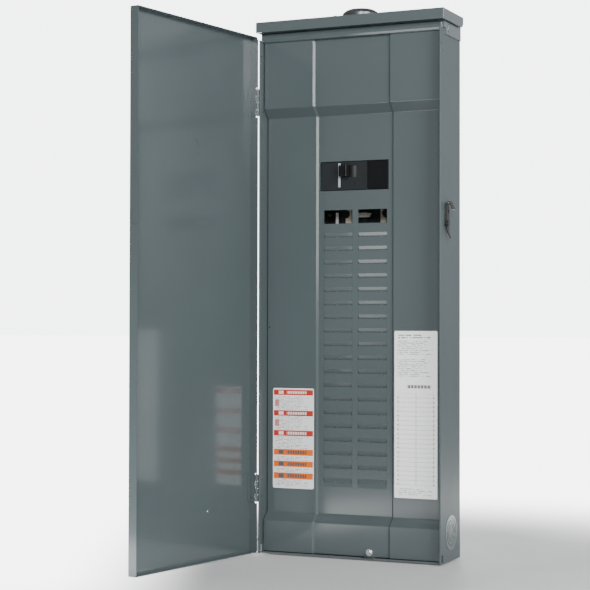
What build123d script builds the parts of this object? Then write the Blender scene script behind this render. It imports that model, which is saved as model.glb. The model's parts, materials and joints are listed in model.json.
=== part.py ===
"""Rainproof residential load center with a main breaker and forty plug-on spaces.

All lengths are millimetres. The model is built in cabinet coordinates: X = 0 on the centre
line, Y = 0 on the back face with the front at negative Y, and Z = 0 on the bottom face. When a
piece is written it is lowered by ORIGIN_Z, so that the part's origin is the centre of the four
wall-mounting holes, on the back face. The door is built closed and then swung open.
"""

from build123d import *
import math
import os

# ---------------------------------------------------------------- driving dimensions
ORIGIN_Z = 500.0  # height of the centre of the wall-mounting holes

WALL = 1.5  # sheet of the enclosure and the dead front cover
HALF_W = 181.0  # half the width over the side walls
DEPTH = 109.0  # back face to the front edges of the side walls
BODY_H = 997.0  # height of the back and side walls
HEM_T = 3.0  # total thickness of the hemmed front edge of a side wall
HEM_D = 10.0  # how far the hem runs back from the front edge

HOOD_TOP = 1000.0
HOOD_HALF_W = 187.5
HOOD_FRONT = -110.8
HOOD_LIP = 20.0

HUB_Y = -44.0  # centre of the hub opening in the top
HUB_HOLE_R = 33.0

RAISED_Y = -92.0  # front face of the cover's top and bottom sections, beside the centre band
MAIN_Y = -74.5  # front face of the cover's main section, beside the centre band
BAND_STEP = 4.0  # how far the centre band is set back
BAND_HALF_W = 74.0
BAND_WEB = 3.6  # width of the sloping web at each side of the band
COVER_HALF_W = 177.3
COVER_BOTTOM = 3.2
COVER_TOP = 975.0
SLOPE_HIGH = (837.5, 820.5)  # heights of the two bends of the upper slope
SLOPE_LOW = (75.5, 60.5)  # heights of the two bends of the lower slope

PITCH = 25.4  # one plug-on breaker
ROWS = 20
ROW_TOP = 643.5  # top of the first row
COLUMN = (5.8, 63.3)  # inner and outer edge of a column of spaces
TWIST_RECESS = 2.6  # how deep the foot of a twist-out is set back
TWIST_FLAT = 17.4  # height of its flat upper part
WINDOW = (-71.0, 66.5, 679.5, 734.5)  # main breaker window: left, right, bottom, top

SHEAR = 0.15  # gap left all round a twist-out

DOOR_T = 1.2
DOOR_HALF_W = 183.6
DOOR_Z = (0.8, 972.0)
DOOR_FRONT = -DEPTH - 16.4  # outer face of the closed door
DOOR_LIP_END = -DEPTH - 0.4
DOOR_SKIRT = 1.5  # how far the side lips reach back outside the side walls
DOOR_OPEN = 98.0  # degrees from closed to the modelled pose

HINGE_X = -HALF_W - 2.8
HINGE_Y = -DEPTH
HINGE_Z = (848.0, 121.5)  # centres of the two hinges
HINGE_H = 51.0
KNUCKLES = 4
KNUCKLE_R = 2.7
PIN_R = 1.45
PIN_GAP = 0.05
LEAF = 1.2

LATCH_Y = -81.0
LATCH_Z = 612.5
LATCH_T = 1.4
LATCH_X = HALF_W + 3.3  # inner face of the latch plate

HANDLE_X = -10.5  # axis of the main breaker's handle
HANDLE_Y = -46.0
HANDLE_TILT = 17.0  # half the handle's swing, in degrees
HANDLE_Z = (705.4, 725.9)
FACE_Y = -70.0  # front face of the main breaker

BUS_Y = (-12.0, -9.0)
STAB_TIP = -29.0
STAB_BACK = -18.0
STAB_DROP = 8.2  # top of a row to the top of its stab
STAB_T = 3.5
INSULATOR_Y = (-15.5, -12.0)

# ---------------------------------------------------------------- small builders


def block(x0, x1, y0, y1, z0, z1):
    """A box between two corners."""
    return Pos((x0 + x1) / 2, (y0 + y1) / 2, (z0 + z1) / 2) * Box(x1 - x0, y1 - y0, z1 - z0)


def rod(axis, start, length, radius, at):
    """A cylinder along X, Y or Z. `at` gives its other two coordinates in X, Y, Z order."""
    base = Cylinder(radius, length, align=(Align.CENTER, Align.CENTER, Align.MIN))
    if axis == "x":
        return Pos(start, at[0], at[1]) * Rot(0, 90, 0) * base
    if axis == "y":
        return Pos(at[0], start, at[1]) * Rot(-90, 0, 0) * base
    return Pos(at[0], at[1], start) * base


def flat(plane, outline):
    """A flat face on a plane; the outline may run either way round."""
    ahead = outline[1:] + outline[:1]
    turn = sum(a[0] * b[1] - b[0] * a[1] for a, b in zip(outline, ahead))
    return plane * Polygon(*(outline if turn > 0 else outline[::-1]), align=None)


def prism_x(outline, x0, x1):
    """A (Y, Z) outline carried along X from x0 to x1."""
    return extrude(flat(Plane.YZ.offset(x0), outline), amount=x1 - x0)


def prism_y(outline, y0, y1):
    """An (X, Z) outline carried along Y from y0 to y1."""
    return extrude(flat(Plane.XZ.offset(-y1), outline), amount=y1 - y0)


def prism_z(outline, z0, z1):
    """An (X, Y) outline carried along Z from z0 to z1."""
    return extrude(flat(Plane.XY.offset(z0), outline), amount=z1 - z0)


def joined(pieces):
    """One shape from several that touch or overlap."""
    shape = pieces[0]
    for piece in pieces[1:]:
        shape = shape + piece
    return shape


def mirrored(shape):
    """The mirror image across the centre plane."""
    return mirror(shape, about=Plane.YZ)


def separate(pieces):
    """A group of solids that stay apart."""
    return Compound(children=[solid for piece in pieces for solid in piece.solids()])


def both_sides(shape):
    """The shape and its mirror image across the centre plane."""
    return separate([shape, mirrored(shape)])


def swung(shape):
    """A door piece turned from closed to the modelled open pose."""
    return Pos(HINGE_X, HINGE_Y, 0) * Rot(0, 0, -DOOR_OPEN) * Pos(-HINGE_X, -HINGE_Y, 0) * shape


def save(name, shape):
    export_step(Pos(0, 0, -ORIGIN_Z) * shape, f"parts/{name}.step")


# ---------------------------------------------------------------- knockouts

KNOCKOUT_GAP = 0.35
SIDE_KNOCKOUT = (-50.0, 51.0)  # Y and Z of its centre
SIDE_RINGS = (31.8, 25.4, 22.2, 17.5, 14.1, 11.1)
BOTTOM_KNOCKOUTS = {-125.0: 4, -62.0: 2, 0.0: 1, 62.0: 2, 125.0: 4}  # X and first ring used
BACK_KNOCKOUTS_X = (-70.0, 70.0)
BACK_KNOCKOUT_Z = 62.0


def knockout_rings(axis, start, thickness, at, radii, drift):
    """Nested rings round one centre, each a little off the last, with a shear gap between."""
    rings = []
    for i, radius in enumerate(radii):
        centre = (at[0], at[1] + drift * (i % 2))
        lift = 0.4 if i % 2 == 0 else 0.0
        ring = rod(axis, start + lift, thickness, radius, centre)
        if i + 1 < len(radii):
            inner = (at[0], at[1] + drift * ((i + 1) % 2))
            ring = ring - rod(axis, start - 1, thickness + 3, radii[i + 1] + KNOCKOUT_GAP, inner)
        rings.append(ring)
    return rings


def side_knockouts():
    right = knockout_rings("x", HALF_W - WALL, WALL, SIDE_KNOCKOUT, SIDE_RINGS, 1.6)
    return both_sides(separate(right))


def bottom_knockouts():
    rings = []
    for x, first in BOTTOM_KNOCKOUTS.items():
        for ring in knockout_rings("z", 0.0, WALL - 0.4, (x, HUB_Y), SIDE_RINGS[first:], 0.9):
            rings.append(ring)
    return separate(rings)


def back_knockouts():
    rings = []
    for x in BACK_KNOCKOUTS_X:
        rings += knockout_rings("y", -WALL, WALL - 0.4, (x, BACK_KNOCKOUT_Z), SIDE_RINGS[2:], 0.9)
    return separate(rings)


# ---------------------------------------------------------------- enclosure

WALL_HOLES = [(x, z) for x in (-140.0, 140.0) for z in (ORIGIN_Z - 440, ORIGIN_Z + 440)]
WALL_HOLE_R = 3.6
PAN_FEET = [(x, z) for x in (-78.0, 78.0) for z in (120.0, 640.0)]
GROUND_FEET = [(-150.0, 145.0), (-150.0, 315.0)]
SIDE_HOLES = [(-102.5, 936.5), (-96.5, 925.5)]
SIDE_HOLE_R = 1.7
WEEP_SLOT = (-102.0, -93.5, 2.5, 15.5)
NOTCH = (-87.0, 966.0)  # the side walls are cut away in front of and above this corner


def side_wall():
    """The right side wall with its hemmed front edge."""
    wall = block(HALF_W - WALL, HALF_W, -DEPTH, 0, 0, BODY_H)
    hem = block(HALF_W - HEM_T, HALF_W, -DEPTH, -DEPTH + HEM_D, 0, BODY_H)
    shape = wall + hem
    nose = shape.edges().filter_by(Axis.Z).group_by(Axis.Y)[0]
    shape = fillet(nose, 1.3)
    cuts = [block(HALF_W - 5, HALF_W + 1, -DEPTH - 1, NOTCH[0], NOTCH[1], BODY_H + 1)]
    cuts.append(block(HALF_W - 5, HALF_W + 1, *WEEP_SLOT))
    cuts.append(rod("x", HALF_W - 5, 10, SIDE_RINGS[0] + KNOCKOUT_GAP, SIDE_KNOCKOUT))
    return shape - cuts - [rod("x", HALF_W - 5, 10, SIDE_HOLE_R, hole) for hole in SIDE_HOLES]


def enclosure_wrapper():
    """Back wall and both side walls, formed from one sheet."""
    right = side_wall()
    holes = [(x, z, WALL_HOLE_R) for x, z in WALL_HOLES]
    holes += [(x, z, 2.1) for x, z in PAN_FEET + GROUND_FEET]
    holes += [(x, BACK_KNOCKOUT_Z, SIDE_RINGS[2] + KNOCKOUT_GAP) for x in BACK_KNOCKOUTS_X]
    back = block(-HALF_W, HALF_W, -WALL, 0, 0, BODY_H)
    back = back - [rod("y", -10, 20, r, (x, z)) for x, z, r in holes]
    left = mirrored(right)
    rivets = [(CABINET_RIVET_Y, z + dz) for z in HINGE_Z for dz in LEAF_RIVETS_Z]
    left = left - [rod("x", -HALF_W - 5, 10, RIVET_R + 0.1, at) for at in rivets]
    right = right - rod("x", HALF_W - 5, 10, LATCH_PIN_R, (LATCH_Y, LATCH_Z))
    stop = block(-HALF_W - 2.4, -HALF_W, -DEPTH + 3.2, -DEPTH + 6.2, 23.0, 27.0)
    return joined([back, right, left, stop])


BOTTOM_FRONT = -101.0
LIP_H = 2.9
LIP_NOTCH = (25.0, 48.0)


def bottom_end_wall():
    """Bottom plate with a low front lip, side flanges and a back flange."""
    half = HALF_W - WALL - 0.1
    plate = block(-half, half, -DEPTH + HEM_D + 0.3, -WALL - 0.1, 0, WALL)
    nose = block(-HALF_W + HEM_T + 0.2, HALF_W - HEM_T - 0.2, BOTTOM_FRONT, -98.5, 0, WALL)
    lip = block(-HALF_W + HEM_T + 0.2, HALF_W - HEM_T - 0.2, BOTTOM_FRONT, BOTTOM_FRONT + WALL, 0, LIP_H)
    side = block(half - WALL, half, -91.0, -WALL - 0.1, 0, 16)
    back = block(-half, half, -2 * WALL - 0.1, -WALL - 0.1, 0, 16)
    shape = joined([plate, nose, lip, side, mirrored(side), back])
    shape = shape - block(*LIP_NOTCH, BOTTOM_FRONT - 1, BOTTOM_FRONT + WALL + 0.1, WALL - 0.7, LIP_H + 1)
    holes = [(x, SIDE_RINGS[first] + KNOCKOUT_GAP) for x, first in BOTTOM_KNOCKOUTS.items()]
    return shape - [rod("z", -1, 5, r, (x, HUB_Y)) for x, r in holes]


FLANGE_FRONT = -94.5
FLANGE_HALF_W = 178.0
SIDE_FLANGE_Y = -85.0
SIDE_FLANGE_Z = 956.0


def top_end_wall():
    """Top plate with outside flanges and a rolled front flange."""
    top = BODY_H + WALL
    out = HALF_W + WALL
    plate = block(-out, out, SIDE_FLANGE_Y, 0, BODY_H, top)
    nose = block(-out, out, FLANGE_FRONT, SIDE_FLANGE_Y, BODY_H, top)
    side = block(HALF_W, out, SIDE_FLANGE_Y, 0, SIDE_FLANGE_Z, top)
    corner = block(HALF_W, out, FLANGE_FRONT, SIDE_FLANGE_Y, NOTCH[1] + 1, top)
    dimple = block(out, out + 1.0, -70.5, -65.5, 962, 976)
    dimple = fillet(dimple.edges().filter_by(Axis.X), 2.4)
    bead = [(FLANGE_FRONT, 980.0), (FLANGE_FRONT - 3.6, 977.0), (FLANGE_FRONT - 5.2, 972.0)]
    bead += [(FLANGE_FRONT - 4.6, 967.0), (FLANGE_FRONT - 2.4, 963.4), (FLANGE_FRONT, 962.2)]
    bead += [(FLANGE_FRONT + 1.6, 962.2), (FLANGE_FRONT + 1.6, 980.0)]
    roll = prism_x(bead, -FLANGE_HALF_W, FLANGE_HALF_W)
    web = block(-out, out, FLANGE_FRONT, FLANGE_FRONT + 1.6, NOTCH[1] + 1, top)
    shape = joined([plate, nose, roll, web, side, mirrored(side), corner, mirrored(corner)])
    shape = shape + dimple + mirrored(dimple)
    return shape - hub_holes(BODY_H - 1, 2.1)


def hub_screw_places():
    return [(x, HUB_Y + dy) for x in (-37.0, 37.0) for dy in (-37.0, 37.0)]


def hub_holes(low, screw_r):
    """Cutters for the hub opening and its four screws."""
    cuts = [rod("z", low, 5, HUB_HOLE_R, (0, HUB_Y))]
    return cuts + [rod("z", low, 5, screw_r, place) for place in hub_screw_places()]


def rain_hood():
    """Hood over the top end wall, with a turned-down lip on its front and sides."""
    outer = block(-HOOD_HALF_W, HOOD_HALF_W, HOOD_FRONT, 0, HOOD_TOP - HOOD_LIP, HOOD_TOP)
    bends = outer.edges().filter_by(Axis.Z).group_by(Axis.Y)[0]
    bends += outer.edges().group_by(Axis.Z)[-1].filter_by(Axis.Y)
    bends += outer.edges().group_by(Axis.Z)[-1].group_by(Axis.Y)[0]
    outer = fillet(bends, 1.6)
    low = HOOD_TOP - HOOD_LIP - 1
    inner = block(-HOOD_HALF_W + WALL, HOOD_HALF_W - WALL, HOOD_FRONT + WALL, 1, low, HOOD_TOP - WALL)
    shape = outer - inner
    hem_in = 3.0
    side_hem = block(HOOD_HALF_W - hem_in, HOOD_HALF_W - WALL + 0.2, HOOD_FRONT + 1, -8, low + 1, low + 7)
    front_hem = block(-HOOD_HALF_W + 2, HOOD_HALF_W - 2, HOOD_FRONT + WALL - 0.2, HOOD_FRONT + hem_in, low + 1, low + 7)
    shape = joined([shape, side_hem, mirrored(side_hem), front_hem])
    corner = [(0.1, low + 0.9), (-7, low + 0.9), (0.1, low + 7.9)]
    shape = shape - prism_x(corner, -HOOD_HALF_W - 1, HOOD_HALF_W + 1)
    return shape - hub_holes(HOOD_TOP - 3, 2.1)


HUB_PLATE = 44.0  # half the side of the closing cap's square plate
COLLAR_R = 34.6  # outside of the closing cap's upright collar
GASKET_T = 1.5


def hub_gasket():
    ring = block(-HUB_PLATE, HUB_PLATE, HUB_Y - HUB_PLATE, HUB_Y + HUB_PLATE, HOOD_TOP, HOOD_TOP + GASKET_T)
    ring = fillet(ring.edges().filter_by(Axis.Z), 8)
    return ring - hub_holes(HOOD_TOP - 1, 2.3)


def hub_closing_cap():
    """Square plate with a bright collar and a shallow dome, hollow underneath."""
    base = HOOD_TOP + GASKET_T
    plate = block(-HUB_PLATE, HUB_PLATE, HUB_Y - HUB_PLATE, HUB_Y + HUB_PLATE, base, base + 2)
    plate = fillet(plate.edges().filter_by(Axis.Z), 8)
    low, rim, top = base, HOOD_TOP + 12.0, HOOD_TOP + 20.6
    bore = COLLAR_R - 2.0
    wall = Polyline((0, top - 2), (0, top))
    crown = Line((0, top), (13, top))
    shoulder = ThreePointArc((13, top), (COLLAR_R - 6.2, top - 2.9), (COLLAR_R, rim))
    skirt = Polyline((COLLAR_R, rim), (COLLAR_R, low), (bore, low), (bore, rim))
    inside = ThreePointArc((bore, rim), (COLLAR_R - 8.0, top - 4.8), (13, top - 2))
    back = Line((13, top - 2), (0, top - 2))
    section = make_face(Plane.XZ * (wall + crown + shoulder + skirt + inside + back))
    dome = Pos(0, HUB_Y, 0) * revolve(section, Axis.Z)
    holes = [rod("z", low - 1, 5, 2.3, place) for place in hub_screw_places()]
    return plate - holes - rod("z", low - 1, 12, bore, (0, HUB_Y)) + dome


def hub_cap_screws():
    base = HOOD_TOP + GASKET_T + 2
    screws = []
    for x, y in hub_screw_places():
        head = rod("z", base, 2.6, 4.4, (x, y))
        head = fillet(head.edges().group_by(Axis.Z)[-1], 1.2)
        head = head - block(x - 0.6, x + 0.6, y - 5, y + 5, base + 1.5, base + 3)
        screws.append(head + rod("z", base - 9.5, 9.5, 1.95, (x, y)))
    return separate(screws)


# ---------------------------------------------------------------- dead front cover


def cover_line(x_shift):
    """Front line of the cover from bottom to top, as (Y, Z) points, moved back by x_shift."""
    raised, main = RAISED_Y + x_shift, MAIN_Y + x_shift
    return [
        (raised, COVER_BOTTOM),
        (raised, SLOPE_LOW[1]),
        (main, SLOPE_LOW[0]),
        (main, SLOPE_HIGH[1]),
        (raised, SLOPE_HIGH[0]),
        (raised, COVER_TOP),
    ]


def cover_section(x, set_back, thickness):
    """The cover's upright section at one X position, with rounded bends."""
    front = cover_line(set_back)
    back = [(y + thickness, z) for y, z in reversed(front)]
    face = flat(Plane.YZ.offset(x), front + back)
    return fillet([v for v in face.vertices() if COVER_BOTTOM + 1 < v.Z < COVER_TOP - 1], 2.2)


def cover_strip(x0, x1, set_back, thickness):
    """A strip of the cover between two X positions."""
    return extrude(cover_section(x0, set_back, thickness), amount=x1 - x0)


def dead_front_cover():
    """Formed cover: a set-back centre band between two side bands with back-turned edges."""
    outer = BAND_HALF_W + BAND_WEB
    side = cover_strip(outer, COVER_HALF_W, 0.0, WALL)
    reach = math.hypot(BAND_WEB, BAND_STEP)
    web = extrude(cover_section(outer, 0.0, WALL + 0.6), amount=reach, dir=(-BAND_WEB, BAND_STEP, 0))
    edge = cover_strip(COVER_HALF_W - WALL, COVER_HALF_W, 0.0, 9.0)
    centre = cover_strip(-BAND_HALF_W, BAND_HALF_W, BAND_STEP, WALL)
    right = joined([side, web, edge])
    shape = joined([centre, right, mirrored(right)])
    front = MAIN_Y + BAND_STEP
    left, right_end, low, high = WINDOW
    cuts = [block(left, right_end, front - 5, front + 5, low, high)]
    bottom = ROW_TOP - ROWS * PITCH
    ramp = [(front - 1, bottom + 0.1), (front + 1.0, bottom + 0.1), (front, bottom - 9), (front - 1, bottom - 9)]
    for sign in (-1, 1):
        x0, x1 = sorted((sign * COLUMN[0], sign * COLUMN[1]))
        cuts.append(block(x0, x1, front - 5, front + 5, bottom, ROW_TOP))
        cuts.append(prism_x(ramp, x0, x1))
    cuts.append(rod("y", RAISED_Y - 5, 20, 2.6, COVER_SCREW))
    cuts.append(rod("y", MAIN_Y - 5, 20, 1.5, (-174.0, 424.0)))
    return shape - cuts


def twist_outs(sign):
    """Nineteen twist-outs of one column. The first space of the column stands open."""
    front = MAIN_Y + BAND_STEP
    x0, x1 = sorted((sign * (COLUMN[0] + SHEAR), sign * (COLUMN[1] - SHEAR)))
    plates = []
    for row in range(1, ROWS):
        top = ROW_TOP - row * PITCH - SHEAR
        low = top - PITCH + 2 * SHEAR
        foot = top - TWIST_FLAT
        deep = front + TWIST_RECESS
        outline = [(front, top), (front, foot), (deep, low + 1.6), (deep, low)]
        outline += [(deep + WALL, low), (front + WALL, foot), (front + WALL, top)]
        plates.append(prism_x(outline, x0, x1))
    return separate(plates)


COVER_SCREW = (36.0, 11.0)


def cover_bracket():
    """Small angle on the bottom wall that takes the cover screw."""
    x, z = COVER_SCREW
    face = RAISED_Y + BAND_STEP + WALL + 0.1
    shape = block(x - 11, x + 11, face, face + 1.5, WALL, 24) + block(x - 11, x + 11, face, face + 16, WALL, WALL + 1.5)
    return shape - rod("y", face - 2, 6, 2.1, (x, z))


def cover_screw():
    """Slotted hex screw with a wide washer face."""
    x, z = COVER_SCREW
    seat = RAISED_Y + BAND_STEP
    washer = rod("y", seat - 1.3, 1.3, 6.6, (x, z))
    hexagon = Plane.XZ.offset(-(seat - 1.3)) * RegularPolygon(5.3, 6)
    head = Pos(x, 0, z) * extrude(hexagon, amount=4.4)
    head = chamfer(head.faces().sort_by(Axis.Y)[0].edges(), 0.5)
    slot = block(x - 7, x + 7, seat - 7, seat - 4, z - 0.8, z + 0.8)
    return joined([washer, head]) - slot + rod("y", seat, 9.0, 2.0, (x, z))


LABEL_T = 0.3
SAFETY_LABEL = (-166.0, -81.5, 120.4, 309.0)
DIRECTORY_LABEL = (80.0, 163.0, 112.5, 417.7)


def label(x0, x1, z0, z1, corner):
    sheet = block(x0, x1, MAIN_Y - LABEL_T, MAIN_Y, z0, z1)
    return fillet(sheet.edges().filter_by(Axis.Y), corner)


# ---------------------------------------------------------------- interior


def row_tops():
    return [ROW_TOP - row * PITCH for row in range(ROWS)]


def mounting_pan():
    """Plated steel pan on four formed feet, with its long edges turned forward."""
    plate = block(-92, 92, -7.0, -5.8, 96, 662)
    edge = block(90.8, 92, -12.5, -5.8, 96, 662)
    shape = joined([plate, edge, mirrored(edge)])
    shape = shape + [block(x - 8, x + 8, -5.8, -WALL, z - 8, z + 8) for x, z in PAN_FEET]
    return shape - [rod("y", -20, 25, 2.1, place) for place in PAN_FEET + [BOND_SCREW]]


def pan_head_screw(x, z, seat, length, head_r=4.2):
    head = rod("y", seat - 2.4, 2.4, head_r, (x, z))
    head = fillet(head.edges().group_by(Axis.Y)[0], 1.0)
    head = head - block(x - head_r, x + head_r, seat - 3, seat - 1.4, z - 0.5, z + 0.5)
    return head + rod("y", seat, length, 1.95, (x, z))


def pan_screws():
    return separate([pan_head_screw(x, z, -7.0, 6.6) for x, z in PAN_FEET])


WING = (29.6, 41.6)
WING_CUT_R = 8.0
NEUTRAL_RAIL = (51.5, 57.0)


def stab_rows(first_row):
    """Top of every second stab, from a given row down."""
    return [top - STAB_DROP for top in row_tops()[first_row::2]]


def insulator_base():
    """Black moulded plate over the bus bars, with a spine and a slot for each stab's foot."""
    low, high = 118.0, 648.0
    front = INSULATOR_Y[0]
    spine = block(-4.4, 4.4, -20.5, front, low, high)
    rib = block(60, 64, INSULATOR_Y[1], -7.0, low, high)
    post = [block(53.0, 57.0, -19, front, z - 6, z + 6) for z in (140, 260, 380, 500, 620)]
    shape = block(-64, 64, *INSULATOR_Y, low, high)
    shape = shape + ([spine, rib, mirrored(rib)] + post + [mirrored(p) for p in post])
    slots = [block(4.7, 13.3, -22, -11, top - STAB_T - 0.3, top + 0.3) for top in stab_rows(0)]
    slots += [block(-13.3, -4.7, -22, -11, top - STAB_T - 0.3, top + 0.3) for top in stab_rows(1)]
    slots += [block(-5, 5, -22, front, top - STAB_DROP - 4, top - STAB_DROP + 5.2) for top in row_tops()]
    return shape - slots


def stab_guards():
    """Ivory guards: two notched wings down the base, and a small hood over each stab."""
    front = INSULATOR_Y[0]
    wing = block(*WING, front - 1.8, front, 118, 648)
    wing = wing - [rod("y", -25, 12, WING_CUT_R, (WING[1] - 1.0, top - 4.0)) for top in row_tops()]
    hoods = []
    for top in row_tops():
        z = top - STAB_DROP + 0.4
        hood = block(-12.5, 12.5, -26.5, front, z, z + 4.4)
        hoods.append(fillet(hood.edges().filter_by(Axis.Z), 1.0))
    return separate([wing, mirrored(wing)] + hoods)


BOND_SCREW = (70.0, 560.0)


def bus_bar(sign, first_row):
    """One phase: a flat bar with a stab folded across the centre at every second row."""
    pieces = []
    for top in stab_rows(first_row):
        pieces.append(block(5, 13, STAB_BACK, BUS_Y[0], top - STAB_T, top))
        pieces.append(block(-13, 13, STAB_TIP, STAB_BACK, top - STAB_T, top))
    shape = block(5, 21, *BUS_Y, 125, 668) + pieces
    return shape if sign > 0 else mirrored(shape)


def hook_rail(sign):
    """Steel rail with one hook for each breaker."""
    web = block(84, 85.5, -30, -7.0, 122, 645)
    flange = block(76, 85.5, -31.5, -30, 122, 645)
    pieces = [flange]
    for top in row_tops():
        pieces.append(block(76, 77.5, -37, -31.5, top - 17.5, top - 8.5))
        pieces.append(block(77.5, 80.5, -37, -35.5, top - 17.5, top - 8.5))
    shape = web + pieces
    return shape if sign > 0 else mirrored(shape)


def neutral_rail(sign):
    """Bright plug-on neutral rail beside the insulator's wing."""
    rail = block(*NEUTRAL_RAIL, -29, -27, 98, 642) + block(NEUTRAL_RAIL[1] - 1.5, NEUTRAL_RAIL[1], -27, -19, 98, 642)
    return rail if sign > 0 else mirrored(rail)


NEUTRAL_BAR = (96.0, 106.0)
BAR_PITCH = 12.7


def neutral_bar(sign):
    """Terminal bar with a wire hole under each screw."""
    shape = block(*NEUTRAL_BAR, -30, -19, 98, 640)
    middle = sum(NEUTRAL_BAR) / 2
    shape = shape - [rod("x", NEUTRAL_BAR[0] - 1, 12, 2.4, (-22.4, z)) for z in bar_places()]
    shape = shape - [rod("y", -31, 5.7, 2.1, (middle, z)) for z in bar_places()]
    return shape if sign > 0 else mirrored(shape)


def bar_places():
    return [130 + BAR_PITCH * i for i in range(38)]


def terminal_screw(x, z, front, out=3.2):
    head = rod("y", front - out, out, 3.6, (x, z))
    head = head - block(x - 4, x + 4, front - out - 1, front - out + 1.2, z - 0.6, z + 0.6)
    return head + rod("y", front, 4.4, 2.0, (x, z))


def neutral_bar_screws():
    x = sum(NEUTRAL_BAR) / 2
    return separate([terminal_screw(side * x, z, -30.0) for side in (-1, 1) for z in bar_places()])


def neutral_cross_strap():
    return block(-NEUTRAL_BAR[1], NEUTRAL_BAR[1], -19, -16, 98, 114)


def lug_block(x, y0, y1, z0, z1, bore_r):
    """Aluminium lug with a vertical wire bore and a threaded hole in its front."""
    shape = block(x - 14, x + 14, y0, y1, z0, z1)
    shape = fillet(shape.edges().filter_by(Axis.Z), 3)
    shape = shape - rod("z", z0 - 1, z1 - z0 + 2, bore_r, (x, (y0 + y1) / 2 + 2.5))
    return shape - rod("y", y0 - 1, 12, 6.05, (x, (z0 + z1) / 2))


def lug_screw(x, z, front):
    screw = rod("y", front - 12, 13.5, 6.0, (x, z))
    socket = Plane.XZ.offset(-(front - 8)) * RegularPolygon(3.4, 6)
    return screw - Pos(x, 0, z) * extrude(socket, amount=6)


NEUTRAL_LUG_X = -101.0


def neutral_lug():
    strap = block(NEUTRAL_LUG_X - 12, NEUTRAL_LUG_X + 12, -19, -16, 620, 700)
    return strap + lug_block(NEUTRAL_LUG_X, -46, -19, 662, 696, 8.0)


def neutral_lug_screw():
    return lug_screw(NEUTRAL_LUG_X, 679, -46)


def bonding_screw():
    """Screw that bonds the right neutral rail's clip to the mounting pan."""
    x, z = BOND_SCREW
    return pan_head_screw(x, z, -8.5, 3.5, 3.6)


def bonding_strap():
    x, z = BOND_SCREW
    foot = block(x - 5, x + 5, -8.5, -7.0, z - 6, z + 6)
    riser = block(x - 5, x - 3.8, -24.5, -8.5, z - 6, z + 6)
    strap = block(NEUTRAL_RAIL[1], x - 3.8, -26, -24.5, z - 6, z + 6)
    return joined([foot, riser, strap]) - rod("y", -20, 20, 2.2, (x, z))


def ground_bar():
    shape = block(-156, -144, -23, -11, 130, 330)
    shape = shape + [block(x - 6, x + 6, -11, -WALL, z - 6, z + 6) for x, z in GROUND_FEET]
    shape = shape - [rod("x", -157, 14, 2.6, (-15.4, z)) for z in ground_places()]
    shape = shape - [rod("y", -24, 5.8, 2.1, (-150, z)) for z in ground_places()]
    return shape - [rod("y", -30, 35, 2.1, place) for place in GROUND_FEET]


def ground_places():
    return [170 + BAR_PITCH * i for i in range(10)]


def ground_bar_screws():
    screws = [terminal_screw(-150, z, -23.0) for z in ground_places()]
    return separate(screws + [pan_head_screw(x, z, -23.0, 22.6) for x, z in GROUND_FEET])


# ---------------------------------------------------------------- main breaker

CASE_Z = (668.0, 765.0)
LINE_LUG_X = (-30.0, 30.0)
SEAM_X = 24.3
DRUM_R = 23.2
POCKET_GAP = 0.4


def breaker_bracket():
    """Steel channel between the back wall and the main breaker."""
    plate = block(-62, 62, -10, -8.5, 672, 762)
    leg = block(60.5, 62, -8.5, -WALL, 672, 762)
    foot = block(48, 62, -3.0, -WALL, 672, 762)
    return joined([plate, leg, foot, mirrored(leg), mirrored(foot)])


def handle_pocket():
    """The room that the handle's drum turns in."""
    height = HANDLE_Z[1] - HANDLE_Z[0] + 3
    return rod("z", HANDLE_Z[0] - 1.5, height, DRUM_R + POCKET_GAP, (HANDLE_X, HANDLE_Y))


def breaker_base():
    shape = block(-66, 66, -50, -10, *CASE_Z)
    shape = fillet(shape.edges().filter_by(Axis.Y), 2)
    return shape - handle_pocket()


def breaker_front():
    """Moulded front: raised middle with the handle slot, and a lower right part past a seam."""
    left, right, low, high = WINDOW
    shape = block(left + 1, right - 1, FACE_Y, -50, low + 1, high - 1)
    shape = fillet(shape.faces().sort_by(Axis.Y)[0].edges(), 0.6)
    shape = shape - handle_pocket()
    reach = math.sin(math.radians(HANDLE_TILT)) * (HANDLE_Y - FACE_Y) + 6.4
    low_z, high_z = HANDLE_Z
    cuts = [block(HANDLE_X - reach, HANDLE_X + reach, FACE_Y - 1, HANDLE_Y - 18, low_z - 1, high_z + 1)]
    cuts.append(block(SEAM_X, right - 6, FACE_Y - 1, FACE_Y + 1.6, low, high))
    cuts.append(block(SEAM_X - 1.2, SEAM_X + 0.1, FACE_Y - 1, FACE_Y + 3, low, high))
    cuts.append(block(-2.0, -1.0, FACE_Y - 1, FACE_Y + 0.8, 687, 698))
    cuts += [rod("y", FACE_Y - 1, 2.2, 1.5, (x, 699.0)) for x in (-18.7, 6.5)]
    return shape - cuts


def breaker_status_strip():
    """Pale strip on the face, beside the handle's slot."""
    return block(-34.5, -30.0, FACE_Y - 0.4, FACE_Y, 686, 731)


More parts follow.
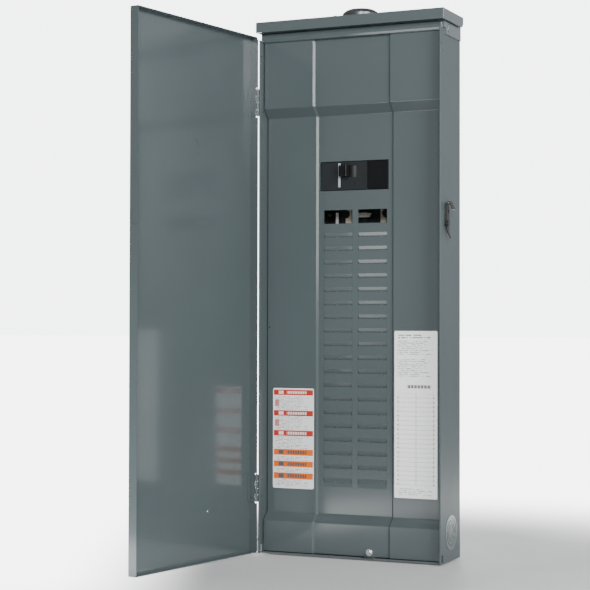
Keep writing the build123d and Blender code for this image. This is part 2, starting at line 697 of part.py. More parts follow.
def breaker_handle():
    """Ribbed toggle on a drum, leaning to the left in the modelled pose."""
    z0, z1 = HANDLE_Z
    hub = rod("z", z0, z1 - z0, 6.0, (0, 0))
    drum = rod("z", z0 - 0.9, z1 - z0 + 1.8, DRUM_R, (0, 0)) - rod("z", z0 - 2, z1 - z0 + 4, DRUM_R - 2.4, (0, 0))
    wedge = prism_z([(0, 0), (-34, -30), (34, -30)], z0 - 3, z1 + 3)
    drum = drum & wedge
    neck = prism_z([(-4, -3), (4, -3), (4.6, -28.6), (-4.6, -28.6)], z0, z1)
    grip = prism_z([(-7.5, -28.2), (7.5, -28.2), (9.6, -38.5), (-9.6, -38.5)], z0, z1)
    grip = fillet(grip.edges().filter_by(Axis.Z).group_by(Axis.Y)[0], 1.6)
    grip = grip - [block(x - 0.7, x + 0.7, -40, -37.6, z0 - 1, z1 + 1) for x in (-6.0, 6.0)]
    rib = block(-1.4, 1.4, -39.6, -38, z0 + 1.5, z1 - 1.5)
    shape = joined([hub, neck, drum, grip, rib]) - rod("z", z0 - 2, z1 - z0 + 4, PIN_R + PIN_GAP, (0, 0))
    return Pos(HANDLE_X, HANDLE_Y, 0) * Rot(0, 0, -HANDLE_TILT) * shape


def handle_pin():
    low = HANDLE_Z[0] - 1.5
    return rod("z", low, HANDLE_Z[1] + 1.5 - low, PIN_R, (HANDLE_X, HANDLE_Y))


def line_lugs():
    return separate([lug_block(x, -46, -16, CASE_Z[1], CASE_Z[1] + 32, 9.5) for x in LINE_LUG_X])


def line_lug_screws():
    return separate([lug_screw(x, CASE_Z[1] + 16, -46) for x in LINE_LUG_X])


# ---------------------------------------------------------------- hinges

LEAF_RIVETS_Z = (-16.0, 16.0)
RIVET_R = 1.5
CABINET_RIVET_Y = -95.0
DOOR_RIVET_Y = -117.5


def knuckle_span(centre, i):
    """Bottom and top of knuckle i, counted from the top."""
    step = HINGE_H / KNUCKLES
    top = centre + HINGE_H / 2 - i * step
    return top - step + 0.2, top - 0.2


def leaf_rivet_holes(shape, y, centre):
    return shape - [rod("x", -HALF_W - 8, 16, RIVET_R + 0.1, (y, centre + dz)) for dz in LEAF_RIVETS_Z]


def knuckles(shape, centre, own):
    """Add a leaf's own knuckles and clear the room for the other leaf's."""
    low, high = centre - HINGE_H / 2 - 1, centre + HINGE_H / 2 + 1
    shape = shape - rod("z", low, high - low, KNUCKLE_R + 0.4, (HINGE_X, HINGE_Y))
    for i in own:
        z0, z1 = knuckle_span(centre, i)
        wrap = rod("z", z0, z1 - z0, KNUCKLE_R, (HINGE_X, HINGE_Y))
        side = 1 if shape.center().Y > HINGE_Y else -1
        y0, y1 = sorted((HINGE_Y, HINGE_Y + side * (KNUCKLE_R + 1.0)))
        x = HINGE_X + KNUCKLE_R
        shape = shape + wrap + block(x - LEAF, x - 0.05, y0, y1, z0, z1)
    return shape - rod("z", low, high - low, PIN_R + PIN_GAP, (HINGE_X, HINGE_Y))


def cabinet_leaf(centre):
    """Hinge leaf on the outside of the left wall."""
    z0, z1 = centre - HINGE_H / 2, centre + HINGE_H / 2
    plate = block(-HALF_W - LEAF, -HALF_W, HINGE_Y + KNUCKLE_R, -90.0, z0, z1)
    plate = fillet(plate.edges().filter_by(Axis.X).group_by(Axis.Y)[-1], 3)
    return leaf_rivet_holes(knuckles(plate, centre, (1, 3)), CABINET_RIVET_Y, centre)


def door_leaf(centre):
    """Angle leaf inside the door's hinge lip, with a short foot on the panel."""
    x = HINGE_X + KNUCKLE_R
    z0, z1 = centre - HINGE_H / 2, centre + HINGE_H / 2
    plate = block(x - LEAF, x, DOOR_FRONT + DOOR_T, HINGE_Y - KNUCKLE_R, z0, z1)
    foot = block(x - LEAF, x + 6.0, DOOR_FRONT + DOOR_T, DOOR_FRONT + DOOR_T + LEAF, z0, z1)
    shape = knuckles(plate, centre, (0, 2)) + foot
    return swung(leaf_rivet_holes(shape, DOOR_RIVET_Y, centre))


def rivet(y, z, x_outer, x_inner):
    """Solid rivet along X with a domed head on each face."""
    shank = rod("x", x_outer, x_inner - x_outer, RIVET_R, (y, z))
    outer = rod("x", x_outer - 0.7, 0.7, 2.6, (y, z))
    inner = rod("x", x_inner, 0.7, 2.6, (y, z))
    return shank + chamfer(outer.edges().group_by(Axis.X)[0], 0.4) + chamfer(inner.edges().group_by(Axis.X)[-1], 0.4)


def cabinet_leaf_rivets():
    outer = -HALF_W - LEAF
    return separate([rivet(CABINET_RIVET_Y, z + dz, outer, -HALF_W + WALL) for z in HINGE_Z for dz in LEAF_RIVETS_Z])


def door_leaf_rivets():
    inner = HINGE_X + KNUCKLE_R
    places = [(z + dz) for z in HINGE_Z for dz in LEAF_RIVETS_Z]
    return swung(separate([rivet(DOOR_RIVET_Y, z, -DOOR_HALF_W, inner) for z in places]))


def hinge_pins():
    pins = []
    for centre in HINGE_Z:
        low = centre - HINGE_H / 2 - 0.6
        pin = rod("z", low, HINGE_H + 1.2, PIN_R, (HINGE_X, HINGE_Y))
        head = rod("z", low + HINGE_H + 1.2, 1.2, 2.3, (HINGE_X, HINGE_Y))
        pins.append(pin + fillet(head.edges().group_by(Axis.Z)[-1], 0.6))
    return separate(pins)


# ---------------------------------------------------------------- door

LATCH_DISH = 14.0  # half height of the dish in the door's free edge
MARK = (182.0, 747.0, 17.0)  # plain round boss: distance from the hinge axis, height, radius


def door_panel():
    """Shallow pan: panel with four turned-back lips, one round boss and a latch dish."""
    z0, z1 = DOOR_Z
    outer = block(-DOOR_HALF_W, DOOR_HALF_W, DOOR_FRONT, DOOR_LIP_END, z0, z1)
    outer = fillet(outer.edges().filter_by(Axis.Y), 2.0)
    outer = fillet(outer.faces().sort_by(Axis.Y)[0].edges(), 1.6)
    inside = DOOR_HALF_W - DOOR_T
    inner = block(-inside, inside, DOOR_FRONT + DOOR_T, DOOR_LIP_END + 1, z0 + DOOR_T, z1 - DOOR_T)
    shape = outer - inner
    skirt = block(inside, DOOR_HALF_W, DOOR_LIP_END - 1, -DEPTH + DOOR_SKIRT, 4.0, 968.0)
    shape = joined([shape, skirt, mirrored(skirt)])
    for centre in HINGE_Z:
        room = HINGE_H / 2 + 2.5
        shape = shape - block(-190, -170, HINGE_Y - KNUCKLE_R - 0.5, -DEPTH + 5, centre - room, centre + room)
        shape = leaf_rivet_holes(shape, DOOR_RIVET_Y, centre)
    low, high = LATCH_Z - LATCH_DISH, LATCH_Z + LATCH_DISH
    shape = shape + block(inside - 1.1, inside + 0.1, -121, DOOR_LIP_END, low - 1, high + 1)
    shape = shape - block(DOOR_HALF_W - 1.1, DOOR_HALF_W + 1, -120, DOOR_LIP_END + 5, low, high)
    x = HINGE_X + MARK[0]
    boss = rod("y", DOOR_FRONT - 0.7, 1.9, MARK[2], (x, MARK[1]))
    boss = fillet(boss.edges().group_by(Axis.Y)[0], 0.6)
    shape = shape + boss - rod("y", DOOR_FRONT + 0.5, 2, MARK[2] - 1, (x, MARK[1]))
    shape = shape - rod("y", DOOR_FRONT - 2, 6, 1.5, (HINGE_X + 136.5, 90.0))
    return swung(shape)


# ---------------------------------------------------------------- side latch

LATCH_PIN_R = 3.0
LATCH_HALF_W = 8.0
PADLOCK = (22.0, 3.4)  # height above the pivot, and radius, of the padlock hole


def ribbon(line, thickness):
    """Outline of a strip of even thickness that follows a line of points."""
    sides = ([], [])
    for i, (u, v) in enumerate(line):
        ahead = line[min(i + 1, len(line) - 1)]
        behind = line[max(i - 1, 0)]
        into = (u - behind[0], v - behind[1]) if i else (ahead[0] - u, ahead[1] - v)
        out = (ahead[0] - u, ahead[1] - v) if i + 1 < len(line) else into
        n1 = (-into[1] / math.hypot(*into), into[0] / math.hypot(*into))
        n2 = (-out[1] / math.hypot(*out), out[0] / math.hypot(*out))
        scale = thickness / (1 + n1[0] * n2[0] + n1[1] * n2[1]) / 2
        miter = ((n1[0] + n2[0]) * scale, (n1[1] + n2[1]) * scale)
        sides[0].append((u + miter[0], v + miter[1]))
        sides[1].append((u - miter[0], v - miter[1]))
    return sides[0] + sides[1][::-1]


def side_latch():
    """Spring-steel swing latch, hanging down: curved tail below, thumb hook above."""
    line = [(6.5, -28), (2.9, -21.5), (0.8, -14.5), (0, -8), (0, 34), (0.8, 37.2), (2.4, 39.0)]
    line += [(4.4, 39.2), (6.2, 37.6), (11.2, 24.5)]
    bent = [(LATCH_X + LATCH_T / 2 + x, LATCH_Z + z) for x, z in line]
    shape = prism_y(ribbon(bent, LATCH_T), LATCH_Y - LATCH_HALF_W, LATCH_Y + LATCH_HALF_W)
    side = [(-LATCH_HALF_W, 41), (-LATCH_HALF_W, -4), (-2.6, -22), (-2.6, -29)]
    side += [(2.6, -29), (2.6, -22), (LATCH_HALF_W, -4), (LATCH_HALF_W, 41)]
    outline = [(LATCH_Y + y, LATCH_Z + z) for y, z in side]
    shape = shape & prism_x(outline, LATCH_X - 3, LATCH_X + 20)
    shape = shape - rod("x", LATCH_X - 3, 8, LATCH_PIN_R + PIN_GAP, (LATCH_Y, LATCH_Z))
    return shape - rod("x", LATCH_X - 3, 5, PADLOCK[1], (LATCH_Y, LATCH_Z + PADLOCK[0]))


def latch_rivet():
    """Shoulder rivet: the latch turns on it, clear of the wall."""
    at = (LATCH_Y, LATCH_Z)
    face = LATCH_X + LATCH_T + 0.2
    inside = rod("x", HALF_W - WALL - 1, 1, 5.0, at)
    shank = rod("x", HALF_W - WALL, face - HALF_W + WALL, LATCH_PIN_R, at)
    collar = rod("x", HALF_W, LATCH_X - HALF_W - 0.2, 5.2, at)
    head = rod("x", face, 1.6, 5.4, at)
    head = fillet(head.edges().group_by(Axis.X)[-1], 0.8)
    return joined([inside, shank, collar, head])


# ---------------------------------------------------------------- write every piece

os.makedirs("parts", exist_ok=True)

PIECES = {
    "enclosure_wrapper": enclosure_wrapper,
    "bottom_end_wall": bottom_end_wall,
    "top_end_wall": top_end_wall,
    "rain_hood": rain_hood,
    "hub_gasket": hub_gasket,
    "hub_closing_cap": hub_closing_cap,
    "hub_cap_screws": hub_cap_screws,
    "side_knockouts": side_knockouts,
    "bottom_knockouts": bottom_knockouts,
    "back_knockouts": back_knockouts,
    "dead_front_cover": dead_front_cover,
    "left_twist_outs": lambda: twist_outs(-1),
    "right_twist_outs": lambda: twist_outs(1),
    "cover_bracket": cover_bracket,
    "cover_screw": cover_screw,
    "safety_label": lambda: label(*SAFETY_LABEL, 3.5),
    "directory_label": lambda: label(*DIRECTORY_LABEL, 2.0),
    "mounting_pan": mounting_pan,
    "pan_screws": pan_screws,
    "insulator_base": insulator_base,
    "stab_guards": stab_guards,
    "bus_bar_a": lambda: bus_bar(1, 0),
    "bus_bar_b": lambda: bus_bar(-1, 1),
    "left_hook_rail": lambda: hook_rail(-1),
    "right_hook_rail": lambda: hook_rail(1),
    "left_neutral_rail": lambda: neutral_rail(-1),
    "right_neutral_rail": lambda: neutral_rail(1),
    "left_neutral_bar": lambda: neutral_bar(-1),
    "right_neutral_bar": lambda: neutral_bar(1),
    "neutral_bar_screws": neutral_bar_screws,
    "neutral_cross_strap": neutral_cross_strap,
    "neutral_lug": neutral_lug,
    "neutral_lug_screw": neutral_lug_screw,
    "bonding_strap": bonding_strap,
    "bonding_screw": bonding_screw,
    "ground_bar": ground_bar,
    "ground_bar_screws": ground_bar_screws,
    "breaker_bracket": breaker_bracket,
    "breaker_base": breaker_base,
    "breaker_front": breaker_front,
    "breaker_status_strip": breaker_status_strip,
    "breaker_handle": breaker_handle,
    "handle_pin": handle_pin,
    "line_lugs": line_lugs,
    "line_lug_screws": line_lug_screws,
    "upper_cabinet_leaf": lambda: cabinet_leaf(HINGE_Z[0]),
    "lower_cabinet_leaf": lambda: cabinet_leaf(HINGE_Z[1]),
    "cabinet_leaf_rivets": cabinet_leaf_rivets,
    "hinge_pins": hinge_pins,
    "upper_door_leaf": lambda: door_leaf(HINGE_Z[0]),
    "lower_door_leaf": lambda: door_leaf(HINGE_Z[1]),
    "door_leaf_rivets": door_leaf_rivets,
    "door_panel": door_panel,
    "side_latch": side_latch,
    "latch_rivet": latch_rivet,
}

for piece_name, make_piece in PIECES.items():
    save(piece_name, make_piece())
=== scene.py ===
import json
import math

import bmesh
import bpy
from mathutils import Matrix, Vector


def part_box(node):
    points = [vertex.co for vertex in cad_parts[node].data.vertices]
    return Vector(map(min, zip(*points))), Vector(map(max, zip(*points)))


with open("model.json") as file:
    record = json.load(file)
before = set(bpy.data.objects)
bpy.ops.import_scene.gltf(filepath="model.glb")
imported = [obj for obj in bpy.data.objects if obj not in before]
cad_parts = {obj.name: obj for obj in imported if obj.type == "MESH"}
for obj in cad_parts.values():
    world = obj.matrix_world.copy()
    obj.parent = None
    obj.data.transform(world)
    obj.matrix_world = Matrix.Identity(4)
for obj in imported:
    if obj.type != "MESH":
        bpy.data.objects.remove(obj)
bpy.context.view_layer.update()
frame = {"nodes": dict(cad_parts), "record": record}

MM = 0.001


# ---------------------------------------------------------------- shader arithmetic


# sockets of the colour form of the Mix node
MIX_FACTOR, MIX_FIRST, MIX_SECOND = 0, 6, 7
MIX_COLOUR = 2


class Field:
    """A number, colour or direction that varies over a surface."""

    def __init__(self, shader, socket):
        self.shader = shader
        self.socket = socket

    def math(self, operation, *terms):
        return self.shader.node("Math", {"operation": operation}, dict(enumerate(terms)))

    def __add__(self, other):
        return self.math("ADD", self, other)

    def __sub__(self, other):
        return self.math("SUBTRACT", self, other)

    def __rsub__(self, other):
        return self.math("SUBTRACT", other, self)

    def __mul__(self, other):
        return self.math("MULTIPLY", self, other)

    def __truediv__(self, other):
        return self.math("DIVIDE", self, other)

    def __mod__(self, other):
        return self.math("FLOORED_MODULO", self, other)

    def __gt__(self, other):
        return self.math("GREATER_THAN", self, other)

    def __lt__(self, other):
        return self.math("LESS_THAN", self, other)

    def __abs__(self):
        return self.math("ABSOLUTE", self)

    __radd__ = __add__
    __rmul__ = __mul__

    def between(self, low, high):
        return (self > low) * (self < high)

    def ramp(self, low, high, out_low=0.0, out_high=1.0):
        inputs = {"Value": self, "From Min": low, "From Max": high, "To Min": out_low, "To Max": out_high}
        return self.shader.node("MapRange", {"interpolation_type": "SMOOTHSTEP"}, inputs)

    def floor(self):
        return self.math("FLOOR", self)


class Shader:
    """A node tree that is filled through one method."""

    def __init__(self, tree):
        self.tree = tree

    def node(self, kind, settings=None, inputs=None, output=0):
        made = self.tree.nodes.new("ShaderNode" + kind)
        for name, value in (settings or {}).items():
            setattr(made, name, value)
        for name, value in (inputs or {}).items():
            if isinstance(value, Field):
                self.tree.links.new(value.socket, made.inputs[name])
            else:
                made.inputs[name].default_value = value
        return Field(self, made.outputs[output])

    def along(self, place, direction):
        """How far a place lies along a direction."""
        return self.node("VectorMath", {"operation": "DOT_PRODUCT"}, {0: place, 1: direction}, "Value")


class Paint(Shader):
    """One material: a node tree with a Principled surface at its end."""

    def __init__(self, name, **fixed):
        self.material = bpy.data.materials.new(name)
        self.material.use_nodes = True
        super().__init__(self.material.node_tree)
        self.tree.nodes.clear()
        self.surface = self.tree.nodes.new("ShaderNodeBsdfPrincipled")
        out = self.tree.nodes.new("ShaderNodeOutputMaterial")
        self.tree.links.new(self.surface.outputs[0], out.inputs["Surface"])
        for socket, value in fixed.items():
            self.surface.inputs[socket.replace("_", " ")].default_value = value
        self.place = self.node("TexCoord", output="Object")
        parts = self.node("SeparateXYZ", inputs={0: self.place}).socket.node.outputs
        self.x = Field(self, parts["X"])
        self.z = Field(self, parts["Z"])

    def join(self, x, y, z):
        return self.node("CombineXYZ", inputs={0: x, 1: y, 2: z})

    def stretch(self, factors):
        return self.node("VectorMath", {"operation": "MULTIPLY"}, {0: self.place, 1: factors})

    def noise(self, scale, detail=2.0, where=None, roughness=0.5):
        inputs = {"Vector": where or self.place, "Scale": scale, "Detail": detail, "Roughness": roughness}
        return self.node("TexNoise", inputs=inputs)

    def mix(self, factor, first, second):
        first, second = (c if isinstance(c, Field) else (*c, 1.0) for c in (first, second))
        inputs = {MIX_FACTOR: factor, MIX_FIRST: first, MIX_SECOND: second}
        return self.node("Mix", {"data_type": "RGBA"}, inputs, MIX_COLOUR)

    def feed(self, **links):
        for socket, value in links.items():
            self.tree.links.new(value.socket, self.surface.inputs[socket.replace("_", " ")])
        return self.material

    def bump(self, height, depth, under=None):
        inputs = {"Height": height, "Strength": 1.0, "Distance": depth}
        if under:
            inputs["Normal"] = under
        return self.node("Bump", inputs=inputs)


# ---------------------------------------------------------------- finishes


# bump depths in metres
SHEET_WAVE = 0.0012
PEEL = 0.000006
METAL_GRAIN = 0.00003
SPARK = 0.00004

DUST = (0.5, 0.52, 0.52)


def shade(colour, share):
    return tuple(share * c for c in colour)


def enamel(name, colour, shine, coat=0.35, specular=0.5):
    """Baked grey enamel over sheet steel: a slow sheet wave, orange peel, faint dust and wipes."""
    paint = Paint(name, Coat_Weight=coat, Coat_Roughness=0.07, Specular_IOR_Level=specular)
    broad = paint.noise(4.0, 2.0)
    peel = paint.noise(750.0, 1.0)
    wipes = paint.noise(9.0, 4.0, roughness=0.6)
    dust = paint.noise(520.0, 2.0).ramp(0.68, 0.76)
    tone = broad.ramp(0.3, 0.7)
    base = paint.mix(tone, shade(colour, 0.96), shade(colour, 1.04))
    base = paint.mix(dust * 0.07, base, DUST)
    gloss = shine + wipes.ramp(0.4, 0.8) * 0.05 + tone * 0.02
    slow = paint.bump(paint.noise(5.0, 1.0, paint.stretch((1.0, 1.0, 0.6))), SHEET_WAVE)
    normal = paint.bump(peel, PEEL, slow)
    return paint.feed(Base_Color=base, Roughness=gloss, Normal=normal)


UPRIGHT = (1.0, 1.0, 0.04)  # stretches a texture into lines along the height


def plated_steel(name, colour, roughness, grain=UPRIGHT):
    """Zinc or tin plating with rolling grain and cloudy spangle."""
    paint = Paint(name, Metallic=1.0)
    lines = paint.noise(1400.0, 3.0, paint.stretch(grain))
    cloud = paint.noise(60.0, 4.0)
    base = paint.mix(cloud.ramp(0.35, 0.7), shade(colour, 0.8), colour)
    base = paint.mix(lines.ramp(0.55, 0.8) * 0.25, base, shade(colour, 0.6))
    gloss = roughness + cloud * 0.16 - lines * 0.08
    return paint.feed(Base_Color=base, Roughness=gloss, Normal=paint.bump(lines, METAL_GRAIN))


SCUFF = (0.6, 0.6, 0.58)


def scuff_marks(paint):
    """Pale rub marks, longest along the height."""
    return paint.noise(160.0, 5.0, paint.stretch((1.0, 1.0, 0.2)), 0.75).ramp(0.62, 0.8)


def moulding(name, colour, roughness, grain=1800.0, scuff=0.05):
    """Moulded plastic: fine spark texture, cloudy gloss and soft scuffs."""
    paint = Paint(name, Specular_IOR_Level=0.5)
    texture = paint.noise(grain, 2.0)
    cloud = paint.noise(45.0, 3.0)
    scuffs = scuff_marks(paint)
    base = paint.mix(cloud, shade(colour, 0.85), colour)
    base = paint.mix(scuffs * scuff, base, SCUFF)
    gloss = roughness + cloud * 0.1 + scuffs * 0.1
    return paint.feed(Base_Color=base, Roughness=gloss, Normal=paint.bump(texture, SPARK))


SEAM_FROM_RIGHT = 41.5 * MM


def breaker_moulding():
    """Black breaker case; the part right of the seam is smoother and darker."""
    paint = Paint("black_moulding", Specular_IOR_Level=0.25)
    low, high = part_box("breaker_front")
    smooth = (paint.x > high.x - SEAM_FROM_RIGHT) * (paint.z > low.z - 1 * MM)
    cloud = paint.noise(45.0, 3.0)
    base = paint.mix(cloud, (0.019, 0.0215, 0.0235), (0.023, 0.026, 0.028))
    base = paint.mix(smooth * 0.85, base, (0.003, 0.0035, 0.0045))
    base = paint.mix(scuff_marks(paint) * 0.03, base, SCUFF)
    gloss = 0.42 + cloud * 0.1 - smooth * 0.16
    normal = paint.bump(paint.noise(1800.0, 2.0), SPARK)
    return paint.feed(Base_Color=base, Roughness=gloss, Normal=normal)


def bright_rail():
    """Silver-bright plating that scatters light, with fine lengthwise grain."""
    paint = Paint("neutral_plating", Metallic=0.25, Specular_IOR_Level=0.8)
    lines = paint.noise(1400.0, 3.0, paint.stretch(UPRIGHT))
    base = paint.mix(lines.ramp(0.4, 0.8), (0.93, 0.93, 0.92), (0.84, 0.84, 0.83))
    gloss = lines * 0.1 + 0.42
    return paint.feed(Base_Color=base, Roughness=gloss, Normal=paint.bump(lines, METAL_GRAIN))


WHITE = (0.90, 0.905, 0.90)
INK = (0.10, 0.10, 0.11)
FINE_INK = (0.2, 0.2, 0.21)
BLOCK_INK = (0.16, 0.16, 0.17)
KNOCKED_OUT = (0.8, 0.79, 0.76)  # bare stock inside a red band
RED = (0.52, 0.035, 0.02)
ORANGE = (0.78, 0.16, 0.015)


def label_stock(name, node, painted_glow):
    """White vinyl, distances in millimetres from the label's lower left corner, and its width."""
    # the label stock glows with painted light in its own colour at the given strength, to look brighter
    # than the lamps make it
    paint = Paint(name, Specular_IOR_Level=0.4, Emission_Strength=painted_glow)
    low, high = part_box(node)
    across = (paint.x - low.x) / MM
    up = (paint.z - low.z) / MM
    fibre = paint.noise(300.0, 3.0)
    sheet = paint.mix(fibre, shade(WHITE, 0.97), WHITE)
    return paint, across, up, sheet, (high.x - low.x) / MM


def rules(paint, across, up, area, pitch, stroke, letter=1.6, fill=0.62):
    """Lines of broken grey strokes that fill an area, like print too small to read."""
    x0, x1, z0, z1 = area
    line = ((up - z0) % pitch) < stroke
    row = ((up - z0) / pitch).floor()
    cell = (across / letter).floor()
    chance = paint.node("TexWhiteNoise", {"noise_dimensions": "2D"}, {"Vector": paint.join(cell, row, 0.0)})
    ends = paint.node("TexWhiteNoise", {"noise_dimensions": "1D"}, {"W": row + 17.0})
    reach = across < (ends * 0.35 * (x1 - x0) + x0 + 0.65 * (x1 - x0))
    return line * (chance < fill) * reach * across.between(x0, x1) * up.between(z0, z1)


def print_finish(paint, colour):
    """Glossy film over the print; the print also glows in its own colour, a painted light that brightens
    the label.
    """
    gloss = paint.noise(80.0).ramp(0.2, 0.8, 0.3, 0.42)
    return paint.feed(Base_Color=colour, Emission_Color=colour, Roughness=gloss)


def safety_print():
    """Six coloured bands, each with a sign block and a row of plain blocks, over broken fine rules."""
    paint, across, up, colour, wide = label_stock("safety_print", "safety_label", 0.16)
    # the ink, top and foot of each band
    bands = [(RED, 185.6, 175.6), (RED, 146.6, 136.4), (RED, 109.1, 98.7)]
    bands += [(ORANGE, 73.7, 62.4), (ORANGE, 51.5, 40.4), (ORANGE, 29.3, 17.8)]
    for i, (ink, top, low) in enumerate(bands):
        inside = up.between(low, top) * across.between(1.8, wide - 1.8)
        colour = paint.mix(inside, colour, ink)
        contrast = KNOCKED_OUT if ink is RED else INK
        word = up.between(low + 2.6, top - 2.6) * across.between(wide * 0.34, wide * 0.82)
        blocks = (across % 5.1) < 3.9
        colour = paint.mix(word * blocks, colour, contrast)
        sign = up.between(low + 2.0, top - 2.0) * across.between(wide * 0.14, wide * 0.26)
        colour = paint.mix(sign, colour, contrast)
        foot = bands[i + 1][1] + 1.6 if i + 1 < len(bands) else 5.0
        small = rules(paint, across, up, (4.0, wide - 5.0, foot, low - 1.4), 2.6, 1.1)
        colour = paint.mix(small * 0.8, colour, FINE_INK)
    for foot in (154.5, 117.0):
        mark = up.between(foot, foot + 12.0) * across.between(4.0, 12.5)
        colour = paint.mix(mark * 0.75, colour, RED)
    return print_finish(paint, colour)


def directory_print():
    """Broken fine rules over a two-column table with short marks at both ends of each row."""
    paint, across, up, colour, wide = label_stock("directory_print", "directory_label", 0.46)
    table_low, table_top = 24.0, 191.0
    row_pitch = 8.345
    title = rules(paint, across, up, (7.0, wide - 7.0, 292.0, 300.0), 4.4, 2.0, 2.2, 0.8)
    colour = paint.mix(title * 0.85, colour, INK)
    for low, top in ((262.0, 289.0), (222.0, 256.0)):
        block = rules(paint, across, up, (5.0, wide - 5.0, low, top), 3.4, 1.5, 1.8, 0.7)
        colour = paint.mix(block * 0.75, colour, BLOCK_INK)
    heading = up.between(200.5, 206.5) * across.between(24.0, wide - 12.0) * ((across % 6.4) < 5.2)
    colour = paint.mix(heading * 0.9, colour, INK)
    rows = ((up - table_low) % row_pitch < 0.7) * up.between(table_low - 0.5, table_top + 0.2)
    rows = rows * across.between(4.0, wide - 4.0)
    columns = abs(across - 42.0) < 0.5
    for line in (8.6, 76.0):
        columns = columns + (abs(across - line) < 0.3)
    columns = columns * up.between(table_low, table_top)
    colour = paint.mix(rows * 0.55, colour, INK)
    colour = paint.mix(columns * 0.7, colour, INK)
    for left, right in ((5.0, 8.0), (wide - 8.0, wide - 4.8)):
        cells = rules(paint, across, up, (left, right, table_low, table_top), row_pitch, 2.4, 1.4, 0.9)
        colour = paint.mix(cells * 0.7, colour, INK)
    foot = rules(paint, across, up, (5.0, wide - 5.0, 6.0, 18.0), 3.4, 1.3)
    colour = paint.mix(foot * 0.7, colour, INK)
    return print_finish(paint, colour)


GREY = (0.088, 0.112, 0.117)
FINISHES = {
    "enamel": enamel("enamel", GREY, 0.15),
    "cap_metal": plated_steel("cap_metal", (0.16, 0.17, 0.18), 0.3),
    "gasket": moulding("gasket_rubber", (0.02, 0.02, 0.02), 0.7),
    "zinc_screw": plated_steel("zinc_screw", (0.78, 0.78, 0.76), 0.22, (1.0, 0.2, 1.0)),
    # zinc sheet darkened far below bright zinc: painted shade standing in for the dark inside of the
    # cabinet
    "zinc_sheet": plated_steel("zinc_sheet", (0.20, 0.20, 0.19), 0.42),
    "black_moulding": breaker_moulding(),
    "ivory_moulding": moulding("ivory_moulding", (0.80, 0.73, 0.58), 0.42, 1500.0, 0.1),
    "pale_strip": moulding("pale_strip", (0.48, 0.53, 0.56), 0.3),
    "tinned_bar": plated_steel("tinned_bar", (0.74, 0.74, 0.72), 0.3),
    "neutral_plating": bright_rail(),
    "ground_screw": plated_steel("ground_screw", (0.16, 0.36, 0.2), 0.3),
    "safety_print": safety_print(),
    "directory_print": directory_print(),
    "spring_steel": plated_steel("spring_steel", (0.09, 0.088, 0.082), 0.38),
}

OWN_FINISH = {
    "enclosure_wrapper": enamel("wall_enamel", GREY, 0.36, coat=0.0, specular=0.22),
    "breaker_handle": moulding("handle_moulding", (0.0035, 0.004, 0.0045), 0.36),
    # the pan's zinc darkened further still: painted shade standing in for the dark inside of the cabinet
    "mounting_pan": plated_steel("pan_steel_painted_shade", (0.10, 0.10, 0.098), 0.5),
}

for part in frame["record"]["subparts"]:
    piece = frame["nodes"][part["node"]]
    piece.data.materials.clear()
    piece.data.materials.append(OWN_FINISH.get(part["node"]) or FINISHES[part["material_slot"]])


# ---------------------------------------------------------------- floor, lights and camera


BEHIND = (-0.413, 0.911, 0.0)  # level direction from the front of the set to its backdrop
BESIDE = (0.911, 0.413, 0.0)  # level direction across the set
FAR_RIGHT = (0.45, 0.893, 0.0)  # level direction that the right side wall mirrors
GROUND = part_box("bottom_end_wall")[0].z - 3 * MM
BACKDROP = 5.5  # strength of the lit backdrop and of the painted glow on the floor
FLOOR_HALF = 60.0  # half the side of the floor, in metres


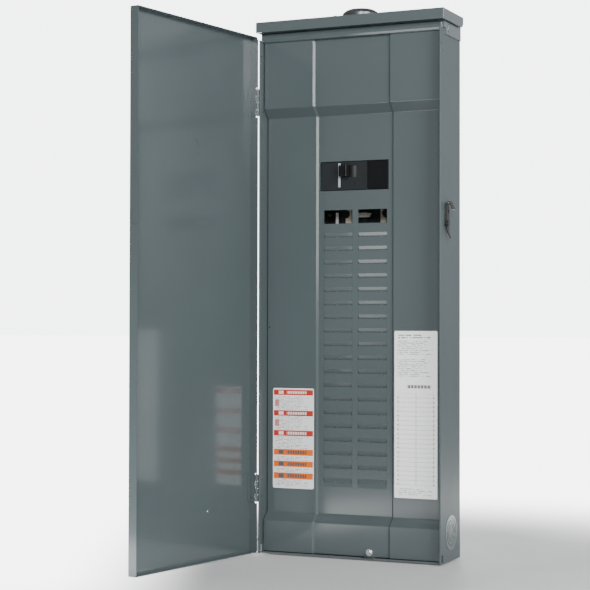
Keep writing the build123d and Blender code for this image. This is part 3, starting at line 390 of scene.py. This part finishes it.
def floor():
    """A wide pale floor just under the cabinet, with a painted glow behind and to the left of it like lit
    studio paper; the glow fades near the cabinet, leaving painted shade around its base.
    """
    sheet = bmesh.new()
    bmesh.ops.create_grid(sheet, x_segments=8, y_segments=8, size=FLOOR_HALF)
    mesh = bpy.data.meshes.new("floor")
    sheet.to_mesh(mesh)
    sheet.free()
    ground = bpy.data.objects.new("floor", mesh)
    ground.location.z = GROUND
    bpy.context.scene.collection.objects.link(ground)
    paint = Paint("floor_paint", Specular_IOR_Level=0.2, Emission_Strength=BACKDROP)
    tone = paint.mix(paint.noise(3.0), (0.62, 0.62, 0.62), (0.66, 0.66, 0.66))
    away = paint.along(paint.place, BEHIND)
    aside = paint.along(paint.place, BESIDE)
    fan = abs(aside - 0.1) / (away + 3.2)  # widens away from the front of the set
    apart = paint.node("VectorMath", {"operation": "LENGTH"}, {0: paint.place}, "Value")
    # painted light: a glowing pool behind the set that fades to painted shade near the cabinet, and a
    # glowing patch to its left
    pool = away.ramp(-0.8, 1.0) * apart.ramp(0.35, 1.2, 0.05, 1.0)
    left = away.ramp(-1.5, -0.2) * (0.0 - aside).ramp(0.28, 0.58) * (1.0 - fan.ramp(0.32, 0.42))
    glow = left + pool * (1.0 - left) * (1.0 - fan.ramp(0.18, 0.24))
    glow = paint.mix(glow, (0.0, 0.0, 0.0), (1.0, 1.0, 1.0))
    gloss = paint.noise(9.0).ramp(0.2, 0.8, 0.5, 0.6)
    mesh.materials.append(paint.feed(Base_Color=tone, Emission_Color=glow, Roughness=gloss))


def softbox(name, spot, aim, size, power):
    """A rectangular soft lamp at one spot, turned to another."""
    lamp = bpy.data.lights.new(name, "AREA")
    lamp.shape = "RECTANGLE"
    lamp.size, lamp.size_y = size
    lamp.energy = power
    holder = bpy.data.objects.new(name, lamp)
    holder.location = spot
    holder.rotation_euler = (Vector(aim) - Vector(spot)).to_track_quat("-Z", "Y").to_euler()
    bpy.context.scene.collection.objects.link(holder)


def room_light(ambient, backdrop, wing):
    """Dim surroundings with a bright backdrop on the far side of the set and a fainter wing."""
    world = bpy.data.worlds.new("studio")
    world.use_nodes = True
    shader = Shader(world.node_tree)
    toward = shader.node("TexCoord", output="Generated")
    back = shader.along(toward, BEHIND).ramp(0.93, 0.965, ambient, backdrop)
    right = shader.along(toward, FAR_RIGHT).ramp(0.75, 0.95, ambient, wing)
    strength = back.math("MAXIMUM", back, right)
    room = world.node_tree.nodes["Background"]
    room.inputs["Color"].default_value = (0.96, 0.98, 1.0, 1.0)
    world.node_tree.links.new(strength.socket, room.inputs["Strength"])
    bpy.context.scene.world = world


CAMERA_SPOT = (1.146, -2.865, -0.0744)
CAMERA_TURNS = ((24.42, "Z"), (91.11, "X"), (0.12, "Z"))  # degrees about the axes, outermost first


def camera():
    data = bpy.data.cameras.new("camera")
    data.lens = 99.05
    data.sensor_width = 36.0
    data.clip_end = 100.0
    holder = bpy.data.objects.new("camera", data)
    stand = Matrix.Translation(CAMERA_SPOT)
    for degrees, axis in CAMERA_TURNS:
        stand = stand @ Matrix.Rotation(math.radians(degrees), 4, axis)
    holder.matrix_world = stand
    bpy.context.scene.collection.objects.link(holder)
    bpy.context.scene.camera = holder


floor()
room_light(0.40, BACKDROP, 0.75)
softbox("right_softbox", (2.22, -1.39, 0.75), (0.0, -0.1, 0.05), (1.2, 1.4), 50.0)
softbox("camera_softbox", (1.4, -3.4, 1.35), (0.0, 0.0, 0.0), (0.8, 1.0), 64.0)
camera()
